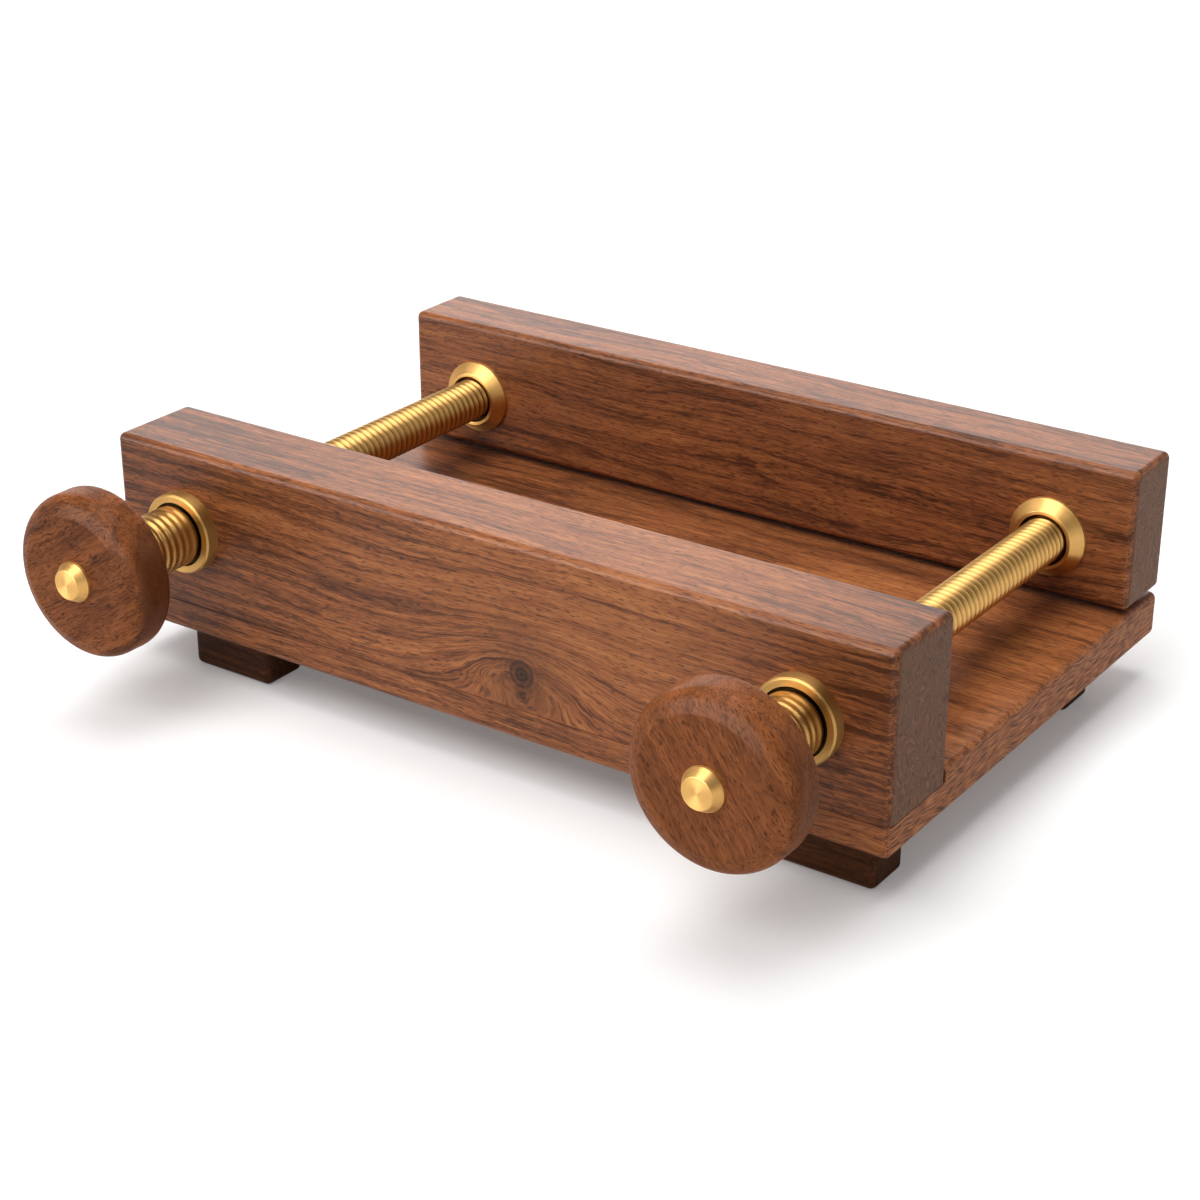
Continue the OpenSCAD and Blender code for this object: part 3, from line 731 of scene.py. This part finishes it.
class BOOKPRESS_OT_knobs(bpy.types.Operator):
    """Turn the two walnut knobs"""

    bl_idname = "book_press.knobs"
    bl_label = "Knobs"
    HEART = Vector((0.0, 30 * MM, -45 * MM))    # from a knob's middle
    GRAIN = {"left": 32, "right": -55}          # degrees by which the grain rises
    # sawn sets how dark each knob's left and right sides are, partly end grain and partly a painted shade.
    BLANKS = {
        "left": {"sawn": 0.8, "contrast": 0.55, "tones": ((-28, 0.47), (28, 0.34))},
        "right": {"sawn": 0.45, "contrast": 0.45, "tones": ((-30, 0.38), (30, 0.42))},
    }

    def execute(self, context):
        sizes, colours = chosen(context)
        for side in SIDES:
            node = f"{side}_knob"
            low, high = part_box(node)
            tenon_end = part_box(f"{side}_screw")[0].y
            rim = radius(node)
            outline = [
                (sizes.stud_radius, low.y),
                (sizes.knob_face_radius, low.y, sizes.knob_crease),
                (rim, low.y + sizes.knob_shoulder, sizes.knob_front_round, ROUND_STEPS),
                (rim, high.y, sizes.knob_back_round, ROUND_STEPS),
                (sizes.tenon_radius, high.y),
                (sizes.tenon_radius, tenon_end),
                (sizes.stud_radius, tenon_end),
            ]
            plank = Plank(heart=measure(node)[0] + self.HEART, turn=(0, -math.radians(self.GRAIN[side]), 0),
                          ring=9.0, curl=0.4, pore_shade=0.62, turned=True, polish=0.17, ior=1.06,
                          **self.BLANKS[side])
            material = finish_of(f"Turned walnut, {side} knob", walnut, plank, colours)
            put(f"{side}_walnut_knob", revolve(outline, screw_axis(side), sizes.around), material,
                screw_body(side), "walnut", node)
        return {"FINISHED"}


class BOOKPRESS_OT_caps(bpy.types.Operator):
    """Turn the bevelled brass caps on the knobs"""

    bl_idname = "book_press.caps"
    bl_label = "Caps"

    def execute(self, context):
        sizes, colours = chosen(context)
        brass = finish_of("Faced brass", turned_brass, colours, shade=1.0, **FACED)
        for side in SIDES:
            node = f"{side}_knob_cap"
            low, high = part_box(node)
            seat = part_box(f"{side}_knob")[0].y
            rim = radius(node)
            outline = [
                (0.0, low.y),
                (sizes.cap_flat_radius, low.y, sizes.brass_edge),
                (rim, seat - sizes.cap_rim, sizes.brass_edge),
                (rim, seat),
                (sizes.stud_radius, seat),
                (sizes.stud_radius, high.y, sizes.brass_edge),
                (0.0, high.y),
            ]
            put(f"{side}_brass_cap", revolve(outline, screw_axis(side), sizes.around), brass,
                screw_body(side), "brass", node)
        return {"FINISHED"}


class BOOKPRESS_OT_sleeves(bpy.types.Operator):
    """Turn the ribbed brass sleeves between the knobs and the bushes"""

    bl_idname = "book_press.sleeves"
    bl_label = "Sleeves"
    RIB_POINTS = 10
    LEAST_RIB = 0.4    # height of the rib at the bush, as a share of that at the knob

    def execute(self, context):
        sizes, colours = chosen(context)
        # Turned brass keeps turned_brass's shade of 0.8: a darker copy of the brass, a painted shade.
        brass = finish_of("Turned brass", turned_brass, colours)
        for side in SIDES:
            node = f"{side}_sleeve"
            low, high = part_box(node)
            crest, bore = radius(node), radius(f"{side}_screw") + sizes.fixed_gap
            neck, back = crest - sizes.sleeve_neck_step, high.y - sizes.sleeve_neck
            steps = round((back - low.y) / sizes.sleeve_rib_step) * self.RIB_POINTS
            outline = [(neck, high.y), (neck, back)]
            for k in range(steps + 1):
                share = k / steps
                rib = sizes.sleeve_rib * (self.LEAST_RIB + (1 - self.LEAST_RIB) * share)
                dip = 0.5 + 0.5 * math.cos(math.tau * k / self.RIB_POINTS)
                outline.append((crest - rib * dip, back + (low.y - back) * share))
            outline += [(bore, low.y), (bore, high.y)]
            put(f"{side}_brass_sleeve", revolve(outline, screw_axis(side), sizes.around, 2), brass,
                screw_body(side), "brass", node)
        return {"FINISHED"}


class BOOKPRESS_OT_bushes(bpy.types.Operator):
    """Turn the flanged brass bushes and the rings that close them"""

    bl_idname = "book_press.bushes"
    bl_label = "Bushes"
    # The bushes' brass is a darker copy of the caps' brass, a painted shade.
    PAINTED_SHADE_COPY = 0.75

    def execute(self, context):
        sizes, colours = chosen(context)
        brass = finish_of("Faced brass, bushes", turned_brass, colours, shade=self.PAINTED_SHADE_COPY, **FACED)
        jaw_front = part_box("front_jaw")[0].y
        edge, fine_edge = sizes.brass_edge, sizes.brass_edge / 2
        for side in SIDES:
            bush, ring, collar = f"{side}_bush", f"{side}_bush_ring", f"{side}_thrust_collar"
            low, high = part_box(bush)
            ring_low, ring_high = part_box(ring)
            screw = radius(f"{side}_screw")
            bore, mouth = screw + sizes.running_gap, screw + sizes.mouth_gap
            pocket = radius(collar) + sizes.collar_gap
            body = pocket + sizes.bush_wall
            flange, rim = radius(bush), radius(ring)
            seat = rim + sizes.fixed_gap
            collar_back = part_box(collar)[1].y + 2 * sizes.running_gap
            bush_outline = [
                (seat, ring_high.y),
                (seat, low.y, fine_edge),
                (flange - sizes.bush_bevel, low.y, edge),
                (flange, low.y + sizes.bush_bevel, edge),
                (flange, jaw_front),
                (body, jaw_front),
                (body, high.y, fine_edge),
                (bore, high.y, fine_edge),
                (bore, collar_back),
                (pocket, collar_back),
                (pocket, ring_high.y),
            ]
            ring_outline = [
                (mouth, ring_low.y, edge),
                (rim, ring_low.y, fine_edge),
                (rim, ring_high.y),
                (mouth, ring_high.y),
            ]
            for kind, outline, start, node in (("bush", bush_outline, 1, bush),
                                               ("ring", ring_outline, 3, ring)):
                put(f"{side}_brass_{kind}", revolve(outline, screw_axis(side), sizes.around, start), brass,
                    "stand", "brass", node)
        return {"FINISHED"}


class BOOKPRESS_OT_nuts(bpy.types.Operator):
    """Turn the bevelled brass nuts of the rear jaw"""

    bl_idname = "book_press.nuts"
    bl_label = "Jaw nuts"

    def execute(self, context):
        sizes, colours = chosen(context)
        brass = finish_of("Faced brass", turned_brass, colours, shade=1.0, **FACED)
        jaw_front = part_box("rear_jaw")[0].y
        edge = sizes.brass_edge
        for side in SIDES:
            node = f"{side}_jaw_nut"
            low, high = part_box(node)
            screw = radius(f"{side}_screw")
            bore, mouth = screw + sizes.running_gap, screw + sizes.mouth_gap
            flange, body = radius(node), screw + sizes.nut_wall
            outline = [
                (bore, low.y + sizes.nut_mouth_depth),
                (mouth, low.y + sizes.nut_mouth_depth),
                (mouth, low.y, edge),
                (mouth + sizes.nut_face, low.y, edge),
                (flange, jaw_front - sizes.nut_rim, edge),
                (flange, jaw_front),
                (body, jaw_front),
                (body, high.y),
                (bore, high.y),
            ]
            put(f"{side}_brass_nut", revolve(outline, screw_axis(side), sizes.around, 2), brass,
                "rear_jaw_unit", "brass", node)
        return {"FINISHED"}


class BOOKPRESS_OT_screws(bpy.types.Operator):
    """Cut the right-hand threads of the two brass screws"""

    bl_idname = "book_press.screws"
    bl_label = "Screws"
    ROWS = 12      # rows of faces in one turn of the thread
    FACETS = 56
    GLOSS = (0.29, 0.37)
    SHARP_ANGLE = math.radians(40)

    def execute(self, context):
        sizes, colours = chosen(context)
        pitch, edge = sizes.thread_pitch, sizes.brass_edge
        brass = finish_of("Rolled brass, screws", turned_brass, colours, gloss=self.GLOSS, draw=0.0,
                          shade=1.0, pitch=pitch)
        tree = thread_tree()
        journal_end = measure("front_jaw")[0].y
        for side in SIDES:
            node = f"{side}_screw"
            low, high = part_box(node)
            crest, tenon = radius(node), sizes.tenon_radius
            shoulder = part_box(f"{side}_knob")[1].y
            thread = grow(tree, {
                "Crest radius": crest, "Depth": sizes.thread_depth, "Pitch": pitch, "Front": journal_end,
                "Back": high.y, "Chamfer": sizes.screw_chamfer,
                "Turns": math.ceil((high.y - journal_end) / pitch) + 1,
                "Rows a turn": self.ROWS, "Facets": self.FACETS, "Material": brass})
            outline = [
                (0.0, low.y),
                (tenon, low.y, edge),
                (tenon, shoulder),
                (crest, shoulder, edge),
                (crest, journal_end),
                (0.0, journal_end),
            ]
            journal = revolve(outline, Matrix.Identity(4), self.FACETS)
            bm = bmesh.new()
            bm.from_mesh(thread)
            bmesh.ops.holes_fill(bm, edges=[e for e in bm.edges if e.is_boundary])
            bm.from_mesh(journal)
            bmesh.ops.recalc_face_normals(bm, faces=bm.faces)
            bm.transform(screw_axis(side))
            bm.to_mesh(thread)
            bm.free()
            thread.set_sharp_from_angle(angle=self.SHARP_ANGLE)
            bpy.data.meshes.remove(journal)
            put(f"{side}_brass_screw", thread, brass, screw_body(side), "brass", node)
        return {"FINISHED"}


class BOOKPRESS_OT_wood_screws(bpy.types.Operator):
    """Set the slotted wood screws of the feet and the front jaw"""

    bl_idname = "book_press.wood_screws"
    bl_label = "Wood screws"
    FOOT_SHANK = 4 * MM
    FOOT_GAP = 17 * MM      # between the two screws of a foot
    JAW_SHANK = 5 * MM
    JAW_FIRST = 28 * MM     # from the press's middle
    JAW_STEP = 46 * MM
    HEAD_ROUND = 0.05       # rounding of the head's rim, as a share of the shank
    SLOT_SHARE = 0.28       # width and depth of the slot, as a share of the head's radius
    FACETS = 48

    def slotted_screw(self, shank, height):
        """A countersunk screw that points up from the origin, with a slot across its head."""
        head, body = shank, shank / 2
        blank = revolve([(0.0, 0.0), (head, 0.0, self.HEAD_ROUND * shank), (body, body),
                         (body, height - shank), (0.0, height)], Matrix.Identity(4), self.FACETS)
        screw = bpy.data.objects.new("wood_screw", blank)
        blade = bpy.data.objects.new("blade", bpy.data.meshes.new("blade"))
        slot = self.SLOT_SHARE * head
        bm = bmesh.new()
        bmesh.ops.create_cube(bm, size=1.0)
        bmesh.ops.scale(bm, vec=(4 * head, slot, 2 * slot), verts=bm.verts)
        bm.to_mesh(blade.data)
        bm.free()
        for made in (screw, blade):
            bpy.context.scene.collection.objects.link(made)
        cut = screw.modifiers.new("Slot", "BOOLEAN")
        cut.object = blade
        cut.solver = "EXACT"
        evaluated = screw.evaluated_get(bpy.context.evaluated_depsgraph_get())
        slotted = bpy.data.meshes.new_from_object(evaluated)
        screw.modifiers.clear()
        screw.data = slotted
        bpy.data.objects.remove(blade)
        return screw

    def execute(self, context):
        steel = finish_of("Zinc-plated steel", plated_steel, chosen(context)[1])
        tree = at_points_tree()
        low, jaw_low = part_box("foot_screws")[0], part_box("front_jaw_screws")[0]
        jaw_y = measure("front_jaw_screws")[0].y
        in_feet, in_jaw = [], []
        for foot in FEET:
            middle = measure(foot)[0]
            in_feet += [(middle.x + k * self.FOOT_GAP / 2, middle.y, low.z) for k in (-1, 1)]
        for k in (-1, 1):
            in_jaw += [(k * (self.JAW_FIRST + n * self.JAW_STEP), jaw_y, jaw_low.z) for n in (0, 1)]
        for name, node, shank, points in (("foot_wood_screws", "foot_screws", self.FOOT_SHANK, in_feet),
                                          ("jaw_wood_screws", "front_jaw_screws", self.JAW_SHANK, in_jaw)):
            source = self.slotted_screw(shank, measure(node)[1].z)
            host = bpy.data.meshes.new("places")
            host.from_pydata(points, [], [])
            mesh = grow(tree, {"Fastener": source, "Material": steel}, host)
            bpy.data.objects.remove(source)
            put(name, mesh, steel, "stand", "steel", node)
        return {"FINISHED"}


class BOOKPRESS_OT_inner_fittings(bpy.types.Operator):
    """Finish the collars, pins and keys that lie inside the press"""

    bl_idname = "book_press.inner_fittings"
    bl_label = "Inner fittings"

    def execute(self, context):
        colours = chosen(context)[1]
        steel = finish_of("Zinc-plated steel", plated_steel, colours)
        brass = finish_of("Turned brass", turned_brass, colours)
        for side in SIDES:
            dress(f"{side}_thrust_collar", brass)
            dress(f"{side}_collar_pin", steel)
            dress(f"{side}_knob_key", steel)
        dress("jaw_nut_keys", steel)
        return {"FINISHED"}


class BOOKPRESS_OT_stage(bpy.types.Operator):
    """Set the pale floor, the soft lights and the camera"""

    bl_idname = "book_press.stage"
    bl_label = "Stage"
    FLOOR_SIDE = 12.0
    FLOOR_GLOW = (0.16, 1.0)      # glow under the press, and far off where the floor is white
    GLOW_REACH = (0.45, 1.3)
    WORLD_LIGHT = 0.24
    SKY = (1.0, 0.2)              # brightness that is seen at the horizon, and overhead
    SKY_REACH = (0.12, 0.5)
    SOFTBOXES = (                 # name, place, target, size, watts, and whether it lights sheen alone
        ("overhead softbox", (-0.15, 0.05, 1.5), (0, 0, 0.05), (1.4, 1.2), 18.5, False),
        ("key softbox", (-0.1, -0.75, 0.95), (0, 0, 0.05), (0.8, 0.55), 5.2, False),
        ("back panel", (-1.05, 1.5, 0.85), (0, 0, 0.05), (2.2, 1.2), 16.0, False),
        ("low panel", (-0.5, -1.5, 0.62), (0, -0.1, 0.08), (2.2, 1.0), 54.0, True),
        ("side strip", (0.95, 0.65, 1.05), (0, 0, 0.05), (0.3, 1.2), 4.0, True),
    )
    CAMERA_TARGET = (8.54 * MM, -7.5 * MM, 39.24 * MM)
    CAMERA_AZIMUTH = 34.887
    CAMERA_ELEVATION = 24.564
    CAMERA_DISTANCE = 832.94 * MM
    FOCAL_PIXELS = 2482.7
    IMAGE_PIXELS = 1200
    SENSOR = 36.0
    CLIP = (0.01, 50.0)

    def seen(self, tree):
        """1 for what the camera sees, straight or in a mirror or glass."""
        path = add(tree, "ShaderNodeLightPath").outputs
        direct = add(tree, "ShaderNodeMath", {0: path["Is Camera Ray"], 1: path["Is Glossy Ray"]},
                     operation="MAXIMUM").outputs[0]
        return add(tree, "ShaderNodeMath", {0: direct, 1: path["Is Transmission Ray"]},
                   operation="MAXIMUM").outputs[0]

    def floor(self, colours):
        """A pale matt floor that keeps the shadow and is white far off."""
        material, tree = new_material("Pale studio floor")
        place = add(tree, "ShaderNodeTexCoord").outputs["Object"]
        away = add(tree, "ShaderNodeVectorMath", {0: place}, operation="LENGTH").outputs["Value"]
        white = add(tree, "ShaderNodeMapRange", {"Value": away, **limits("From", self.GLOW_REACH),
                                                 **limits("To", self.FLOOR_GLOW)}).outputs[0]
        glow = add(tree, "ShaderNodeMath", {0: self.seen(tree), 1: white}, operation="MULTIPLY").outputs[0]
        lit = add(tree, "ShaderNodeBsdfDiffuse", {"Color": opaque(colours.floor)}).outputs[0]
        shine = add(tree, "ShaderNodeEmission", {"Strength": glow}).outputs[0]
        both = add(tree, "ShaderNodeAddShader", {0: lit, 1: shine}).outputs[0]
        add(tree, "ShaderNodeOutputMaterial", {"Surface": both})
        mesh = bpy.data.meshes.new("floor")
        half = self.FLOOR_SIDE / 2
        corners = [(-half, -half, 0), (half, -half, 0), (half, half, 0), (-half, half, 0)]
        mesh.from_pydata(corners, [], [(0, 1, 2, 3)])
        mesh.materials.append(material)
        floor = bpy.data.objects.new("floor", mesh)
        bpy.context.scene.collection.objects.link(floor)

    def world(self, scene):
        """An even soft light, seen as a white horizon under a darker ceiling."""
        scene.world = bpy.data.worlds.new("Studio")
        scene.world.use_nodes = True
        tree = scene.world.node_tree
        tree.nodes.clear()
        place = add(tree, "ShaderNodeTexCoord").outputs["Generated"]
        height = add(tree, "ShaderNodeSeparateXYZ", {0: place}).outputs["Z"]
        fall = add(tree, "ShaderNodeMapRange", {"Value": height, **limits("From", self.SKY_REACH),
                                                **limits("To", self.SKY)}).outputs[0]
        soft, white = (
            add(tree, "ShaderNodeBackground", {"Color": opaque(1), "Strength": strength}).outputs[0]
            for strength in (self.WORLD_LIGHT, fall))
        sky = add(tree, "ShaderNodeMixShader", {0: self.seen(tree), 1: soft, 2: white}).outputs[0]
        add(tree, "ShaderNodeOutputWorld", {"Surface": sky})

    def softbox(self, name, place, target, size, watts, sheen_only):
        """A soft rectangular lamp that faces its target."""
        light = bpy.data.lights.new(name, "AREA")
        light.shape = "RECTANGLE"
        light.size, light.size_y = size
        light.energy = watts
        lamp = bpy.data.objects.new(name, light)
        lamp.location = place
        lamp.rotation_mode = "QUATERNION"
        lamp.rotation_quaternion = (Vector(target) - Vector(place)).to_track_quat("-Z", "Y")
        lamp.visible_diffuse = not sheen_only
        bpy.context.scene.collection.objects.link(lamp)

    def camera(self, scene):
        """The camera, from the direction and the focal length of the reference view."""
        a, e = math.radians(self.CAMERA_AZIMUTH), math.radians(self.CAMERA_ELEVATION)
        back = Vector((math.sin(a) * math.cos(e), -math.cos(a) * math.cos(e), math.sin(e)))
        data = bpy.data.cameras.new("camera")
        data.sensor_width = self.SENSOR
        data.lens = self.FOCAL_PIXELS * self.SENSOR / self.IMAGE_PIXELS
        data.clip_start, data.clip_end = self.CLIP
        camera = bpy.data.objects.new("camera", data)
        camera.location = Vector(self.CAMERA_TARGET) + back * self.CAMERA_DISTANCE
        camera.rotation_mode = "QUATERNION"
        camera.rotation_quaternion = (-back).to_track_quat("-Z", "Y")
        scene.collection.objects.link(camera)
        scene.camera = camera

    def execute(self, context):
        scene = context.scene
        self.floor(chosen(context)[1])
        self.world(scene)
        for softbox in self.SOFTBOXES:
            self.softbox(*softbox)
        self.camera(scene)
        scene.view_settings.view_transform = "Standard"
        return {"FINISHED"}


class BOOKPRESS_PT_panel(bpy.types.Panel):
    """Lists the steps that dress the press, and its sizes and colours"""

    bl_idname = "BOOKPRESS_PT_panel"
    bl_label = "Book Press"
    bl_space_type = "VIEW_3D"
    bl_region_type = "UI"
    bl_category = "Book Press"

    def draw(self, context):
        layout = self.layout
        for operator in OPERATORS:
            layout.operator(operator.bl_idname)
        for group in chosen(context):
            column = layout.column()
            for key in group.__annotations__:
                column.prop(group, key)


GROUPS = (PressSizes, PressColours, PressSettings)
OPERATORS = (
    BOOKPRESS_OT_boards, BOOKPRESS_OT_feet, BOOKPRESS_OT_knobs, BOOKPRESS_OT_caps, BOOKPRESS_OT_sleeves,
    BOOKPRESS_OT_bushes, BOOKPRESS_OT_nuts, BOOKPRESS_OT_screws, BOOKPRESS_OT_wood_screws,
    BOOKPRESS_OT_inner_fittings, BOOKPRESS_OT_stage,
)
CLASSES = (*GROUPS, *OPERATORS, BOOKPRESS_PT_panel)


def register():
    for cls in CLASSES:
        bpy.utils.register_class(cls)
    bpy.types.Scene.book_press = PointerProperty(type=PressSettings)


def unregister():
    del bpy.types.Scene.book_press
    for cls in reversed(CLASSES):
        bpy.utils.unregister_class(cls)


def main():
    """Dresses the press."""
    register()
    for operator in OPERATORS:
        category, step = operator.bl_idname.split(".")
        getattr(getattr(bpy.ops, category), step)()


if __name__ == "__main__":
    main()
